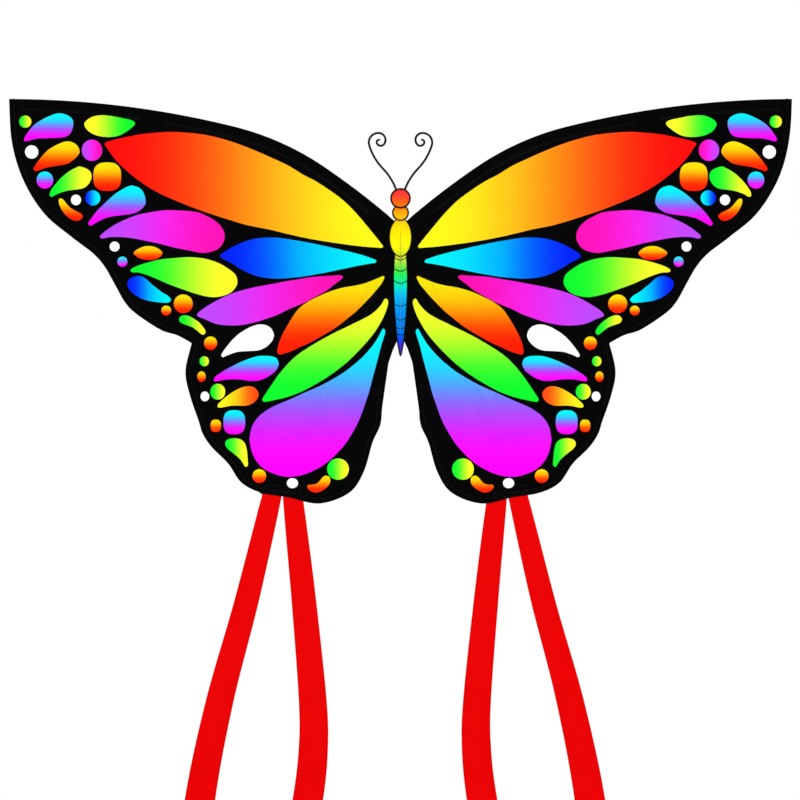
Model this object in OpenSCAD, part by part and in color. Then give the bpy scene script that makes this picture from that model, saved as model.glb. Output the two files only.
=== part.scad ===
// Butterfly delta kite, drawn upright: +Z to the nose, +X along the right wing,
// printed face towards -Y. The origin is the centre of the tow eyelet.

/* [Sail] */
// Tip to tip across the wings
wing_span = 1400; // [1380:5:1420]
// Thickness of the sail cloth
cloth_t = 0.4; // [0.3:0.05:0.4]
// Half width of the centre strip that stays flat when the wings fold
hinge_x = 21; // [20:0.5:21]
// Slope of the leading edge at the centre strip
nose_angle = 40.2; // [39.7:0.1:40.7]
// Depth of the pockets and patches sewn behind the sail
patch_t = 0.3; // [0.2:0.05:0.3]

/* [Frame rods] */
// Diameter of the leading edge rods
edge_rod_d = 4; // [3.5:0.1:4]
// Diameter of the spine rod
spine_rod_d = 4; // [3.5:0.1:4]
// Diameter of the hind wing rods
strut_rod_d = 3; // [2.5:0.1:3]
// Diameter of the two half spreaders
spreader_rod_d = 4; // [3.5:0.1:4]
// How far the leading edge rod lies inside the sail's edge
edge_inset = 8; // [7:0.5:9]

/* [Body] */
// Radius of the head
head_r = 18; // [16:0.5:19]
// Radius of the neck
neck_r = 15.3; // [14:0.1:16]
// Width of the thorax
thorax_w = 38.5; // [36:0.5:40]
// Height of the thorax
thorax_h = 67; // [64:1:68]
// How far the padded body stands out of the sail
body_depth = 7; // [5:0.5:7.5]
// Diameter of the antennae
antenna_d = 3.1; // [2.8:0.1:3.2]

/* [Keel] */
// Distance from the keel's seam to the tow eyelet
keel_depth = 105; // [95:5:115]
// Hole in the tow eyelet
eyelet_hole_d = 5; // [4:0.5:5]

/* [Tails] */
// Sewn end of the left pair, measured from the centre line
left_tails_x = 212; // [205:1:215]
// Sewn end of the right pair, measured from the centre line
right_tails_x = 192; // [185:1:205]
// Height of the tails' fold line
tail_fold_z = -418; // [-419:0.5:-416]
// Thickness of the ribbon
ribbon_t = 0.4; // [0.3:0.05:0.4]

/* [Hidden] */
$fn = 48;

k = wing_span / 1400;
black = [0.07, 0.07, 0.08];
graphite = [0.16, 0.16, 0.18];
vinyl = [0.1, 0.1, 0.11];
ribbon_red = [0.91, 0, 0];

// Layers from front to back
seam_y = keel_depth;
sail_y = seam_y + body_depth + 2;
sail_back = sail_y + cloth_t;
patch_y = sail_back + 0.1;
rod_y = patch_y + patch_t + 0.1;
hinge_gap = 0.5;

// Leading edge: three arcs that run into each other, the last one level at the tip
lead_start = [hinge_x + hinge_gap, 84];
near_bend = [1380, -6];
mid_bend = [500, -20.2];
far_turn = nose_angle + near_bend[1] + mid_bend[1];
near_end = lead_start + step(near_bend, nose_angle);
mid_end = near_end + step(mid_bend, nose_angle + near_bend[1]);
far_bend = [(wing_span / 2 - mid_end[0]) / sin(far_turn), -far_turn];
lead_bends = [near_bend, mid_bend, far_bend];
tip = mid_end + step(far_bend, far_turn);

// Outer edge down to the notch between fore and hind wing, then round the hind wing
outer_edge = [tip, [695, 215] * k, [675.5, 148] * k, [638, 88] * k, [589, 46] * k, [551, 17] * k,
    [530, -7] * k, [512, -38] * k, [494, -70] * k, [474, -91] * k, [430, -120] * k, [400, -130] * k,
    [374, -144] * k];
hind_edge = [[374, -144] * k, [385, -193] * k, [378, -235] * k, [361, -285] * k, [354, -306] * k,
    [338, -330] * k, [308, -360] * k, [284, -394] * k, [248, -412] * k, [200, -420] * k, [145, -431] * k,
    [92, -412] * k, [66, -375] * k, [50, -322] * k, [36, -290] * k, [32, -255] * k,
    [hinge_x + hinge_gap, -181]];

// Edge rod and its sleeve
edge_r = edge_rod_d / 2;
sleeve_r = 3.6;
sleeve_wall = 0.6;
edge_y = rod_y + sleeve_r;
inset_start = lead_start + edge_inset * [sin(nose_angle), -cos(nose_angle)];
root_skip = 1;
tip_skip = 0.5;
tube_gap = 0.01;

// Spreader clip on the far arc
clip_turn = 5;
clip_gap = 0.85;
clip_heading = far_turn - clip_turn;
far_inset = [far_bend[0] - edge_inset, far_bend[1]];
far_inset_start = mid_end + edge_inset * [sin(far_turn), -cos(far_turn)];
clip_point = far_inset_start + step([far_inset[0], -clip_turn], far_turn);

// Spine, hub and spreaders
spine_r = spine_rod_d / 2;
spine_sleeve_r = 3;
spine_y = rod_y + spine_sleeve_r;
spine_low = -126;
spine_high = 109;
hub_z = 5;
hub_half_h = 12;
pivot_x = 14;
pin_r = 1.5;
socket_r = 3.4;
spreader_y = spine_y + 6.5;
spreader_r = spreader_rod_d / 2;
pivot = [pivot_x, hub_z];
spreader_run = clip_point - pivot;
spreader_angle = atan2(spreader_run[1], spreader_run[0]);
spreader_reach = norm(spreader_run) - 8;
cap_r = 3;
cap_length = 14;
running = 0.3;

// Hind wing rod
strut_top = [42, -24] * k;
strut_foot = [196, -372] * k;
strut_r = strut_rod_d / 2;
strut_sleeve_r = 2.3;
strut_y = rod_y + strut_sleeve_r;

// Body, with its front and back just clear of the sail
head_z = 114.6;
neck_z = 88.9;
thorax_z = 44.8;
body_y = sail_y - body_depth - 0.3;
nest_gap = 0.2;
abdomen_side = [[9.5, 14], [10.5, 2], [11.7, -24], [11, -60], [9.5, -90], [7.5, -114], [4.5, -143], [0, -167]];

// Antennae, as bends of [radius, turn] from the holder to the spiral's end
antenna_r = antenna_d / 2;
antenna_start = [2.7, 112];
antenna_heading = 80;
antenna_bends = [[108, -34], [104, 27], [17, 115], [12.3, 122], [7.5, 120], [4.5, 140]];
holder_lean = 76.3;

// Keel
keel_top_z = 56;
keel_foot_z = -122;
keel_tip_r = 11;
keel_t = 0.4;
binding_w = 7;
keel_root_gap = 0.3;

// Tails, as half of a pair: distance from the pair's sewn end, and height
outer_tail = [[18.3, tail_fold_z], [63, -604], [111, -783], [147, -962], [166, -1150], [168, -1300], [158, -1420]];
inner_tail = [[-19.3, tail_fold_z], [-39, -604], [-55, -783], [-56, -870], [-46, -962], [-16, -1130],
    [12, -1280], [24, -1420]];
tail_top_w = 35.5;
tail_end_w = 60;
ribbon_y = patch_y + patch_t + 0.1;

// End of a bend that starts at the origin with this heading
function step(bend, heading) = bend[0] * sign(bend[1]) *
    [sin(heading + bend[1]) - sin(heading), cos(heading) - cos(heading + bend[1])];
function turned(bends, i) = i == 0 ? 0 : turned(bends, i - 1) + bends[i - 1][1];
function bend_start(bends, heading, i) =
    i == 0 ? [0, 0] : bend_start(bends, heading, i - 1) + step(bends[i - 1], heading + turned(bends, i - 1));
function bend_points(start, heading, bends, n) = [for (i = [0:len(bends) - 1], j = [0:n - 1])
    start + bend_start(bends, heading, i)
    + step([bends[i][0], (j + 0.001) / n * bends[i][1]], heading + turned(bends, i))];

// Smooth line through points, n steps between each two
function between(a, b, c, d, t) = 0.5 * (2 * b + (c - a) * t + (2 * a - 5 * b + 4 * c - d) * t * t
    + (3 * b - a - 3 * c + d) * t * t * t);
function smooth(p, n) = [for (i = [0:len(p) - 2], j = [0:n - 1])
    between(p[max(i - 1, 0)], p[i], p[i + 1], p[min(i + 2, len(p) - 1)], j / n)];
function backwards(p) = [for (i = [len(p) - 1:-1:0]) p[i]];
function oval(w, h, n) = [for (i = [0:n - 1]) [w / 2 * cos(360 * i / n), h / 2 * sin(360 * i / n)]];

// Stands a flat drawing up in the XZ plane at depth y
module upright(y) {
    translate([0, y, 0]) rotate([90, 0, 0]) children();
}

// Flat cloth or padding with its front face at depth y
module layer(y, t) {
    upright(y + t) linear_extrude(t) children();
}

// Straight rod between two points of the XZ plane
module rod(a, b, y, r) {
    upright(y) translate(a) rotate([0, 0, atan2(b[1] - a[1], b[0] - a[0])])
        rotate([0, 90, 0]) cylinder(h = norm(b - a), r = r);
}

// Round rod that follows bends of [radius, turn, drawn]; a positive turn goes left
module bent_rod(start, heading, bends, y, r) {
    upright(y) for (i = [0:len(bends) - 1]) if (bends[i][2]) one_bend(start, heading, bends, i, 0) circle(r);
}

// Sweeps a profile along bend i, which stops short of the next one by end_gap degrees
module one_bend(start, heading, bends, i, end_gap) {
    turn = bends[i][1];
    h = heading + turned(bends, i);
    centre = start + bend_start(bends, heading, i) + sign(turn) * bends[i][0] * [-sin(h), cos(h)];
    translate(centre) rotate(turn > 0 ? h - 90 : h + 90 + turn + end_gap)
        rotate_extrude(angle = abs(turn) - end_gap) translate([bends[i][0], 0]) children();
}

// Tube along the same bends, in lengths that meet with a hairline gap
module bent_tube(start, heading, bends, y, r, bore) {
    upright(y) for (i = [0:len(bends) - 1]) if (bends[i][2]) one_bend(start, heading, bends, i, tube_gap)
        difference() {
            circle(r);
            circle(bore);
        }
}

module left() {
    mirror([1, 0, 0]) children();
}

// ---- Centre ----

module centre_panel() {
    c = hinge_x - hinge_gap;
    color(black) layer(sail_y, cloth_t) polygon([[-c, 83], [0, 64.5], [c, 83], [c, -177], [13, -155], [5, -138],
        [0, -131], [-5, -138], [-13, -155], [-c, -177]]);
}

module spine_rod() {
    color(graphite) rod([0, spine_low], [0, spine_high], spine_y, spine_r);
}

module spine_sleeve() {
    color(black) difference() {
        union() {
            rod([0, spine_low + 2], [0, hub_z - hub_half_h - 1], spine_y, spine_sleeve_r);
            rod([0, hub_z + hub_half_h + 1], [0, 60], spine_y, spine_sleeve_r);
        }
        rod([0, spine_low - 10], [0, 100], spine_y, spine_sleeve_r - 0.6);
    }
}

module spine_tail_cap() {
    color(vinyl) difference() {
        rod([0, spine_low - 3], [0, spine_low + 1.5], spine_y, spine_sleeve_r);
        rod([0, spine_low], [0, spine_low + 3], spine_y, spine_r + 0.02);
    }
}

module nose_patch() {
    color(black) layer(patch_y, patch_t) polygon([[-15, 75], [0, 61], [15, 75], [12, 34], [-12, 34]]);
}

module antenna_holder() {
    color(vinyl) difference() {
        layer(spine_y - 3.4, 6.8) polygon([[-7, 94], [7, 94], [10.5, 125], [-10.5, 125]]);
        rod([0, 90], [0, spine_high + 0.1], spine_y, spine_r + 0.02);
        antenna_socket();
        left() antenna_socket();
    }
}

// Straight hole that follows the foot of the right antenna
module antenna_socket() {
    along = [cos(holder_lean), sin(holder_lean)];
    rod(antenna_start - 0.5 * along, antenna_start + 24 * along, spine_y, antenna_r + 0.45);
}

module centre_hub() {
    front = rod_y + 0.2;
    plate_front = spreader_y - socket_r - running;
    plate_back = spreader_y + socket_r + running;
    color(vinyl) difference() {
        union() {
            layer(front, plate_front - front) hub_outline();
            layer(plate_front, plate_back - plate_front) translate([0, hub_z])
                square([11, 2 * hub_half_h], center = true);
            layer(plate_back, 1.6) hub_outline();
        }
        rod([0, -100], [0, 100], spine_y, spine_r + 0.02);
        for (side = [-1, 1]) pin_hole(side, front + 1, plate_back + 3, pin_r + 0.02);
    }
}

module hub_outline() {
    translate([0, hub_z]) square([2 * pivot_x, 2 * hub_half_h], center = true);
    for (side = [-1, 1]) translate([side * pivot_x, hub_z]) circle(6.5);
}

module pin_hole(side, from, to, r) {
    layer(from, to - from) translate([side * pivot_x, hub_z]) circle(r);
}

module hub_pins() {
    front = rod_y + 1.2;
    back = spreader_y + socket_r + running + 1.6;
    color("silver") for (side = [-1, 1]) {
        pin_hole(side, front, back, pin_r);
        pin_hole(side, back, back + 0.9, 2.6);
    }
}

// ---- Body and antennae ----

module head() {
    color([0.98, 0.3, 0.18]) layer(body_y, body_depth) translate([0, head_z]) circle(head_r);
}

module neck() {
    color([1, 0.55, 0.1]) layer(body_y, body_depth) difference() {
        translate([0, neck_z]) circle(neck_r);
        translate([0, head_z]) circle(head_r + nest_gap);
    }
}

module thorax() {
    color([1, 0.85, 0.1]) layer(body_y, body_depth) difference() {
        translate([0, thorax_z]) polygon(oval(thorax_w, thorax_h, 60));
        translate([0, neck_z]) circle(neck_r + nest_gap);
    }
}

module abdomen() {
    side = smooth(abdomen_side, 5);
    color([0.2, 0.75, 0.7]) layer(body_y, body_depth) difference() {
        polygon(concat(side, [abdomen_side[len(abdomen_side) - 1]], backwards([for (p = side) [-p[0], p[1]]])));
        translate([0, thorax_z]) polygon(oval(thorax_w + 2 * nest_gap, thorax_h + 2 * nest_gap, 60));
    }
}

module right_antenna() {
    last = len(antenna_bends);
    route = concat(bend_points(antenna_start, antenna_heading, antenna_bends, 8),
        [antenna_start + bend_start(antenna_bends, antenna_heading, last)]);
    color(black) wire(route, spine_y, antenna_r, 10);
}

// Round wire swept along points of the XZ plane
module wire(route, y, r, sides) {
    n = len(route);
    rings = [for (i = [0:n - 1], s = [0:sides - 1]) let (
        run = route[min(i + 1, n - 1)] - route[max(i - 1, 0)],
        across = r * cos(360 * s / sides) * [-run[1], run[0]] / norm(run))
        [route[i][0] + across[0], y + r * sin(360 * s / sides), route[i][1] + across[1]]];
    walls = [for (i = [0:n - 2], s = [0:sides - 1]) let (a = i * sides, b = (s + 1) % sides)
        [a + s, a + b, a + sides + b, a + sides + s]];
    polyhedron(rings, concat(walls, [[for (s = [sides - 1:-1:0]) s],
        [for (s = [0:sides - 1]) (n - 1) * sides + s]]));
}

// ---- Keel ----

// Side view of the fin: x is depth from the seam, y is height
function keel_outline(root, inset) = concat(
    [[root, keel_foot_z + inset * 1.6], [root, keel_top_z - inset * 2.2]],
    [for (a = [62:-8:-50]) [keel_depth + (keel_tip_r - inset) * cos(a), (keel_tip_r - inset) * sin(a)]]);

module fin(t) {
    translate([0, seam_y, 0]) rotate([90, 0, -90]) translate([0, 0, -t / 2]) linear_extrude(t) children();
}

module keel_panel() {
    color([0.3, 0.75, 0.6]) fin(keel_t) difference() {
        polygon(keel_outline(-1, 1.5));
        translate([-5, -300]) square([5 + keel_root_gap, 600]);
        translate([keel_depth, 0]) circle(eyelet_hole_d / 2 + 1.1);
    }
}

module keel_binding() {
    color(black) for (side = [-1, 1]) translate([side * (keel_t / 2 + 0.3), 0, 0]) fin(0.4) difference() {
        polygon(keel_outline(keel_root_gap, 0));
        polygon(keel_outline(-1, binding_w));
        translate([keel_depth, 0]) circle(10.2);
    }
}

module tow_patch() {
    color(black) for (side = [-1, 1]) translate([side * (keel_t / 2 + 0.3), 0, 0]) fin(0.4) difference() {
        translate([keel_depth, 0]) circle(10);
        translate([keel_depth, 0]) circle(eyelet_hole_d / 2 + 1.1);
    }
}

module tow_eyelet() {
    r = eyelet_hole_d / 2;
    color("gold") rotate([0, 90, 0]) difference() {
        union() {
            cylinder(h = 3, r = r + 1, center = true);
            for (side = [-1, 1]) translate([0, 0, side * 1.1]) cylinder(h = 0.8, r = r + 3, center = true);
        }
        cylinder(h = 10, r = r, center = true);
    }
}

// ---- Wings: each is drawn as the right one ----

module wing_sail() {
    color(black) layer(sail_y, cloth_t) polygon(concat(bend_points(lead_start, nose_angle, lead_bends, 9),
        smooth(outer_edge, 5), smooth(hind_edge, 5), [hind_edge[len(hind_edge) - 1]]));
}

module wing_edge_rod() {
    color(graphite) bent_rod(inset_start, nose_angle, edge_bends(root_skip, tip_skip, 0), edge_y, edge_r);
}

module wing_edge_sleeve() {
    color(black) bent_tube(inset_start, nose_angle, edge_bends(root_skip + 0.25, tip_skip + 0.3, clip_gap),
        edge_y, sleeve_r, sleeve_r - sleeve_wall);
}

// The leading edge bends moved in to the rod, without the ends and a gap at the clip
function edge_bends(root, end, gap) = [[near_bend[0] - edge_inset, -root, false],
    [near_bend[0] - edge_inset, near_bend[1] + root, true], [mid_bend[0] - edge_inset, mid_bend[1], true],
    [far_inset[0], gap - clip_turn, true], if (gap > 0) [far_inset[0], -2 * gap, false],
    [far_inset[0], clip_turn + gap + end - far_turn, true]];

function edge_place(turn) = far_inset_start + step([far_inset[0], -turn], far_turn);

module wing_edge_root_cap() {
    a = inset_start + step([near_bend[0] - edge_inset, -root_skip], nose_angle);
    h = nose_angle - root_skip;
    along = [cos(h), sin(h)];
    color(vinyl) difference() {
        rod(a - 2 * along, a + 4 * along, edge_y, edge_r + 1);
        rod(a, a + 9 * along, edge_y, edge_r + 0.15);
    }
}

module wing_edge_tip_cap() {
    a = edge_place(far_turn - tip_skip);
    h = tip_skip;
    along = [cos(h), sin(h)];
    color(vinyl) difference() {
        rod(a - 8 * along, a + 3 * along, edge_y, edge_r + 1);
        rod(a - 12 * along, a + 0.1 * along, edge_y, edge_r + 0.4);
    }
}

module wing_tip_patch() {
    color(black) layer(patch_y, patch_t) polygon([[698, 286] * k, [640, 284] * k, [646, 252] * k, [688, 228] * k]);
}

// Clamps the edge rod and holds the spreader's cap in a trough that is open behind and below
module wing_spreader_clip() {
    floor_y = spreader_y - cap_r - 0.4;
    color(vinyl) difference() {
        union() {
            clip_round(0, 9, sleeve_r);
            along_spreader(edge_y - 1.5, spreader_y + 1.8 - edge_y + 1.5) translate([-7.4, -4.5]) square([5.2, 10]);
            along_spreader(floor_y - 1.6, 1.6) translate([-26, -4.5]) square([20, 10]);
            along_spreader(floor_y - 1.6, spreader_y + 1.8 - floor_y + 1.6) translate([-26, cap_r + 0.4])
                square([20, 2.1]);
            along_spreader(edge_y - 1.5, floor_y - edge_y + 1.5) translate([-9, -4.5]) square([9, 10]);
        }
        clip_round(0, 9.2, edge_r + 0.25);
        for (side = [-1, 1]) clip_round(side * 20.6, 32, edge_r + 0.6);
    }
}

// Cylinder along the edge rod, with its middle this far from the clip point
module clip_round(along, length, r) {
    upright(edge_y) translate(clip_point) rotate([0, 0, clip_heading]) rotate([0, 90, 0])
        translate([0, 0, along]) cylinder(h = length, r = r, center = true);
}

// Flat drawing with +X along the right spreader and its origin at the clip point
module along_spreader(y, t) {
    layer(y, t) translate(clip_point) rotate([0, 0, spreader_angle]) children();
}

function strut_way(d) = strut_top + d * (strut_foot - strut_top) / norm(strut_foot - strut_top);
strut_length = norm(strut_foot - strut_top);

module wing_strut_rod() {
    color(graphite) rod(strut_top, strut_foot, strut_y, strut_r);
}

module wing_strut_sleeve() {
    color(black) difference() {
        rod(strut_way(8), strut_way(strut_length - 8), strut_y, strut_sleeve_r);
        rod(strut_way(0), strut_way(strut_length), strut_y, strut_sleeve_r - 0.5);
    }
}

module wing_strut_caps() {
    color(vinyl) difference() {
        union() {
            rod(strut_way(-3), strut_way(7.5), strut_y, strut_sleeve_r);
            rod(strut_way(strut_length - 7.5), strut_way(strut_length + 3), strut_y, strut_sleeve_r);
        }
        rod(strut_top, strut_foot, strut_y, strut_r + 0.02);
    }
}

module wing_tail_patch(x) {
    color(black) layer(patch_y, patch_t) polygon([[x - 44, -392], [x + 44, -392], [x + 40, tail_fold_z + 4],
        [x - 40, tail_fold_z + 1]]);
}

module wing_ribbon_ends(x) {
    color(ribbon_red) layer(ribbon_y, ribbon_t) for (side = [outer_tail[0][0], inner_tail[0][0]])
        translate([x + side - tail_top_w / 2, tail_fold_z + 0.3]) square([tail_top_w, 23]);
}

// ---- Half spreaders ----

module spreader_socket() {
    color(vinyl) difference() {
        union() {
            spreader_tube(5, 40, socket_r);
            layer(spreader_y - socket_r + 0.1, 2 * socket_r - 0.2) translate(pivot) circle(6);
        }
        spreader_tube(12, 41, spreader_r + 0.02);
        layer(spreader_y - 10, 20) translate(pivot) circle(pin_r + 0.05);
    }
}

module spreader_tube(from, to, r) {
    along = spreader_run / norm(spreader_run);
    rod(pivot + from * along, pivot + to * along, spreader_y, r);
}

module spreader_rod() {
    color(graphite) spreader_tube(12.1, spreader_reach - 1.5, spreader_r);
}

module spreader_cap() {
    color(vinyl) difference() {
        spreader_tube(spreader_reach - cap_length, spreader_reach, cap_r);
        spreader_tube(spreader_reach - cap_length - 1, spreader_reach - 1.5, spreader_r + 0.02);
    }
}

// ---- Tails ----

function tail_width(z) = let (u = (tail_fold_z - z) / (tail_fold_z + 962))
    tail_top_w + (tail_end_w - 5 - tail_top_w) * pow(min(u, 1), 0.75) + 5 * max(0, min(u - 1, 1));

// A tail hangs from the fold line along a smooth line and widens as it opens out
module tail(x, line) {
    middle = concat(smooth(line, 4), [line[len(line) - 1]]);
    color(ribbon_red) layer(ribbon_y, ribbon_t) translate([x, -0.3]) polygon(concat(
        [for (p = middle) [p[0] - tail_width(p[1]) / 2, p[1]]],
        backwards([for (p = middle) [p[0] + tail_width(p[1]) / 2, p[1]]])));
}

centre_panel();
spine_rod();
spine_sleeve();
spine_tail_cap();
nose_patch();
antenna_holder();
centre_hub();
hub_pins();
head();
neck();
thorax();
abdomen();
left() right_antenna();  // left_antenna
right_antenna();
keel_panel();
keel_binding();
tow_patch();
tow_eyelet();
left() wing_sail();  // left_sail
left() wing_edge_rod();  // left_edge_rod
left() wing_edge_sleeve();  // left_edge_sleeve
left() wing_edge_root_cap();  // left_edge_root_cap
left() wing_edge_tip_cap();  // left_edge_tip_cap
left() wing_tip_patch();  // left_tip_patch
left() wing_spreader_clip();  // left_spreader_clip
left() wing_strut_rod();  // left_strut_rod
left() wing_strut_sleeve();  // left_strut_sleeve
left() wing_strut_caps();  // left_strut_caps
left() wing_tail_patch(left_tails_x);  // left_tail_patch
left() wing_ribbon_ends(left_tails_x);  // left_ribbon_ends
wing_sail();  // right_sail
wing_edge_rod();  // right_edge_rod
wing_edge_sleeve();  // right_edge_sleeve
wing_edge_root_cap();  // right_edge_root_cap
wing_edge_tip_cap();  // right_edge_tip_cap
wing_tip_patch();  // right_tip_patch
wing_spreader_clip();  // right_spreader_clip
wing_strut_rod();  // right_strut_rod
wing_strut_sleeve();  // right_strut_sleeve
wing_strut_caps();  // right_strut_caps
wing_tail_patch(right_tails_x);  // right_tail_patch
wing_ribbon_ends(right_tails_x);  // right_ribbon_ends
left() spreader_socket();  // left_spreader_socket
left() spreader_rod();  // left_spreader_rod
left() spreader_cap();  // left_spreader_cap
spreader_socket();  // right_spreader_socket
spreader_rod();  // right_spreader_rod
spreader_cap();  // right_spreader_cap
left() tail(left_tails_x, outer_tail);  // left_outer_ribbon
left() tail(left_tails_x, inner_tail);  // left_inner_ribbon
tail(right_tails_x, inner_tail);  // right_inner_ribbon
tail(right_tails_x, outer_tail);  // right_outer_ribbon
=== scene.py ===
import math

import bmesh
import bpy
import numpy as np
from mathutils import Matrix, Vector, noise
from mathutils.geometry import delaunay_2d_cdt


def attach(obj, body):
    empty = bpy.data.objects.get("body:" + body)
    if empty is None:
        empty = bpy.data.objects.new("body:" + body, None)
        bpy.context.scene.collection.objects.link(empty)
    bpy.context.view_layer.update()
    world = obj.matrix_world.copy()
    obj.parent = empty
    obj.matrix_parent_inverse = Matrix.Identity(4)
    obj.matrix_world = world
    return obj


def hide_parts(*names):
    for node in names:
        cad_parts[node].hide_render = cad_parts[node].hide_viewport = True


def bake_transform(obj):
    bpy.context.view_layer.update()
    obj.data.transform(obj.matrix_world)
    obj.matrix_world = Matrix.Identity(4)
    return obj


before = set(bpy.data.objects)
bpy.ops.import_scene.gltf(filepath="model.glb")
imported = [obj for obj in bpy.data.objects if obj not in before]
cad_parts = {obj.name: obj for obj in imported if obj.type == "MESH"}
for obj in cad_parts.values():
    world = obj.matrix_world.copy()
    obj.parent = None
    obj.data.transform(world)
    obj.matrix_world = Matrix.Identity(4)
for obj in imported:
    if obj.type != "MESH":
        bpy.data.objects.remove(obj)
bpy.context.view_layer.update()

# Sizes and points below are in millimetres, as on a cutting pattern: x out along the right wing, z up.
# The left wing is the right one mirrored. Meshes are turned into metres as they are made.
mm = 0.001

kite = {
    "halfSpan": 700, "leadStart": (21.5, 84), "noseAngle": 40.2,
    "bends": [(1380, 6), (500, 20.2)], "lastTurn": 14,
    "sailY": 114.1, "clothThick": 0.25, "rodInset": 8,
    "clipAt": 31.2, "clipGap": 0.85,  # the spreader clip's place, in degrees of turn along the edge
    "outer": [(695, 215), (675.5, 148), (638, 88), (589, 46), (551, 17), (530, -7), (512, -38), (494, -70),
              (474, -91), (430, -120), (400, -130), (374, -144)],
    "hind": [(374, -144), (385, -193), (378, -235), (361, -285), (354, -306), (338, -330), (308, -360),
             (284, -394), (248, -412), (200, -420), (145, -431), (92, -412), (66, -375), (50, -322),
             (36, -290), (32, -255), (21.5, -181)],
    "notch": [(20.5, -177), (13, -155), (5, -138), (0, -131), (0, 64.5), (20.5, 83)],
    "strutTop": (42, -24), "strutFoot": (196, -372),
    "leftTails": 212, "rightTails": 192, "foldZ": -418,
}
sides = {"left": -1, "right": 1}


# drawing helpers

def turnStep(radius, turn, heading):
    a, b = math.radians(heading), math.radians(heading - turn)
    return radius * np.array([math.sin(a) - math.sin(b), math.cos(b) - math.cos(a)])


def leadBends():
    end = np.array(kite["leadStart"], float)
    heading = kite["noseAngle"]
    for radius, turn in kite["bends"]:
        end = end + turnStep(radius, turn, heading)
        heading -= turn
    last = (kite["halfSpan"] - end[0]) / math.sin(math.radians(heading))
    return kite["bends"] + [(last, kite["lastTurn"])]


def leadAt(turned, inset):
    # point on the leading edge after this many degrees of turn, moved into the sail by inset
    heading = kite["noseAngle"]
    a = math.radians(heading)
    point = np.array(kite["leadStart"]) + inset * np.array([math.sin(a), -math.cos(a)])
    for radius, turn in leadBends():
        part = min(turned, turn)
        point = point + turnStep(radius - inset, part, heading)
        heading -= part
        turned -= part
        if turned <= 0:
            break
    return point


def leadLine(start, end, inset, n):
    return np.array([leadAt(t, inset) for t in np.linspace(start, end, n)])


def smooth(points, n, closed=False):
    p = np.asarray(points, float)
    count = len(p)
    rows = []
    for i in range(count if closed else count - 1):
        if closed:
            a, b, c, d = (p[(i + j) % count] for j in (-1, 0, 1, 2))
        else:
            a, b, c, d = p[max(i - 1, 0)], p[i], p[i + 1], p[min(i + 2, count - 1)]
        for t in np.arange(n) / n:
            rows.append(0.5 * (2 * b + (c - a) * t + (2 * a - 5 * b + 4 * c - d) * t * t
                               + (3 * b - a - 3 * c + d) * t ** 3))
    if not closed:
        rows.append(p[-1])
    return np.array(rows)


def runAlong(points):
    # how far along the line each of its points is
    return np.concatenate([[0], np.cumsum(np.linalg.norm(np.diff(points, axis=0), axis=1))])


def respace(points, spacing):
    p = np.asarray(points, float)
    along = runAlong(p)
    at = np.linspace(0, along[-1], max(2, round(along[-1] / spacing) + 1))
    return np.stack([np.interp(at, along, p[:, k]) for k in range(p.shape[1])], axis=1)


def inwards(points):
    # unit normals to the right of the way the line runs, which is into the cloth
    run = np.gradient(np.asarray(points, float), axis=0)
    run /= np.linalg.norm(run, axis=1)[:, None]
    return np.stack([run[:, 1], -run[:, 0]], axis=1)


def inside(points, outline):
    x, z = points[:, 0], points[:, 1]
    found = np.zeros(len(points), bool)
    for (ax, az), (bx, bz) in zip(outline, np.roll(outline, -1, axis=0)):
        if az != bz:
            found ^= ((az > z) != (bz > z)) & (x < (bx - ax) * (z - az) / (bz - az) + ax)
    return found


def distance(points, line):
    best = np.full(len(points), 1e9)
    line = np.asarray(line, float)
    for a, b in zip(line[:-1], line[1:]):
        d = b - a
        t = np.clip(((points - a) @ d) / max(d @ d, 1e-9), 0, 1)
        best = np.minimum(best, np.linalg.norm(points - a - t[:, None] * d, axis=1))
    return best


def signedArea(outline):
    # above zero when the outline runs anticlockwise
    x, z = np.asarray(outline, float).T
    return float(np.dot(x, np.roll(z, -1)) - np.dot(z, np.roll(x, -1))) / 2


def windingSign(outline):
    # turns inwards() the right way for an outline that runs either way
    return -1 if signedArea(outline) > 0 else 1


def ripple(x, z, size, seed):
    # smooth noise from -1 to 1
    return np.array([noise.noise(Vector((a / size, b / size, seed))) for a, b in zip(x, z)])


def cutCloth(outline, marks=(), spacing=7.0, extra=()):
    # triangles inside an outline, with edges along it and along every mark
    loops = [np.asarray(outline, float)] + [np.asarray(m, float) for m in marks]
    lo, hi = loops[0].min(0), loops[0].max(0)
    rows = np.arange(lo[1] + spacing / 2, hi[1], spacing * 0.866)
    grid = [(x + (spacing / 2 if i % 2 else 0), z) for i, z in enumerate(rows)
            for x in np.arange(lo[0], hi[0] + spacing, spacing)]
    grid = np.array(grid + [tuple(p) for p in extra])
    grid = grid[inside(grid, loops[0])]
    clear = np.full(len(grid), 1e9)
    for loop in loops:
        clear = np.minimum(clear, distance(grid, np.vstack([loop, loop[:1]])))
    grid = grid[clear > spacing * 0.4]
    points, edges = [], []
    for loop in loops:
        first = len(points)
        points += [Vector(p) for p in loop]
        edges += [(first + i, first + (i + 1) % len(loop)) for i in range(len(loop))]
    points += [Vector(p) for p in grid]
    verts, _, faces, _, _, _ = delaunay_2d_cdt(points, edges, [], 0, 1e-4)
    verts = np.array([tuple(v) for v in verts])
    faces = np.array([f for f in faces if len(f) == 3])
    middle = verts[faces].mean(axis=1)
    faces = faces[inside(middle, loops[0])]
    a, b, c = (verts[faces[:, i]] for i in range(3))
    turned = (b[:, 0] - a[:, 0]) * (c[:, 1] - a[:, 1]) - (b[:, 1] - a[:, 1]) * (c[:, 0] - a[:, 0]) < 0
    faces[turned] = faces[turned][:, ::-1]
    return verts, faces


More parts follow.
